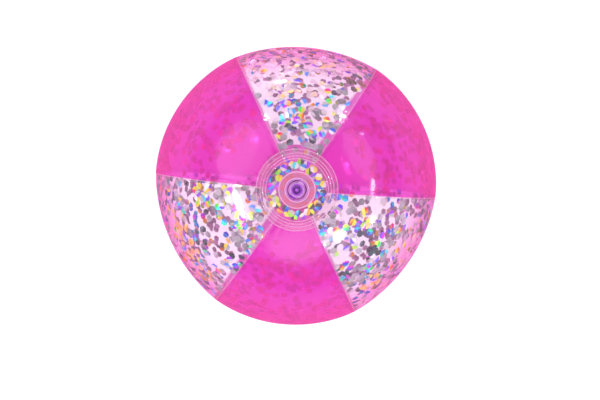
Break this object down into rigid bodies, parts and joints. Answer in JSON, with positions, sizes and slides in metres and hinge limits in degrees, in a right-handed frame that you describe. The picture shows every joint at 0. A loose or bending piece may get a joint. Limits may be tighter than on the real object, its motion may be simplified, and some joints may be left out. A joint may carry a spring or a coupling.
{
  "type": "inflatable beach ball",
  "caption": "Inflatable ball of alternating pink and clear film gores with polar discs, a pop-up valve with a tethered plug, and loose holographic confetti inside.",
  "frame": {"origin": "centre of the inflated ball", "axes": "+Z out through the middle of the valve; +Y through the middle of one clear gore; +X completes a right-handed frame"},
  "size_m": [0.264, 0.264, 0.2648],
  "materials": {
    "pink_film": "glossy translucent pink vinyl film",
    "clear_film": "glossy clear vinyl film",
    "disc_film": "glossy clear vinyl film with embossed weld rings",
    "valve_vinyl": "soft translucent lilac vinyl, moulded",
    "stem_vinyl": "soft translucent violet vinyl, moulded",
    "plug_vinyl": "violet vinyl, moulded, glossy",
    "confetti": "metallised holographic film, punched into hexagonal dots"
  },
  "bodies": {
    "ball": {"gore_pink_1": "pink_film", "gore_clear_1": "clear_film", "gore_pink_2": "pink_film", "gore_clear_2": "clear_film", "gore_pink_3": "pink_film", "gore_clear_3": "clear_film", "valve_disc": "disc_film", "base_disc": "pink_film", "valve_flange": "valve_vinyl", "valve_cuff": "valve_vinyl", "confetti_gore_1": "confetti", "confetti_gore_2": "confetti", "confetti_gore_3": "confetti", "confetti_gore_4": "confetti", "confetti_gore_5": "confetti", "confetti_gore_6": "confetti", "confetti_valve_ring": "confetti", "confetti_base": "confetti"},
    "stem": {"valve_stem": "stem_vinyl"},
    "flap": {"check_flap": "valve_vinyl"},
    "plug": {"valve_plug": "plug_vinyl", "plug_strap": "valve_vinyl"}
  },
  "joints": [
    {"name": "stem_pop", "type": "slide", "parent": "ball", "child": "stem", "axis": [0, 0, 1], "range_m": [0, 0.0115], "deforming": ["valve_cuff"]},
    {"name": "plug_pull", "type": "slide", "parent": "stem", "child": "plug", "axis": [0, 0, 1], "range_m": [0, 0.01], "deforming": ["plug_strap"]},
    {"name": "flap_open", "type": "hinge", "parent": "stem", "child": "flap", "pos_m": [-0.0047, 0, 0.11765], "axis": [0, 1, 0], "range_deg": [0, 65], "stiffness_Nm_per_rad": 0.0002, "springref_deg": -17.19}
  ]
}
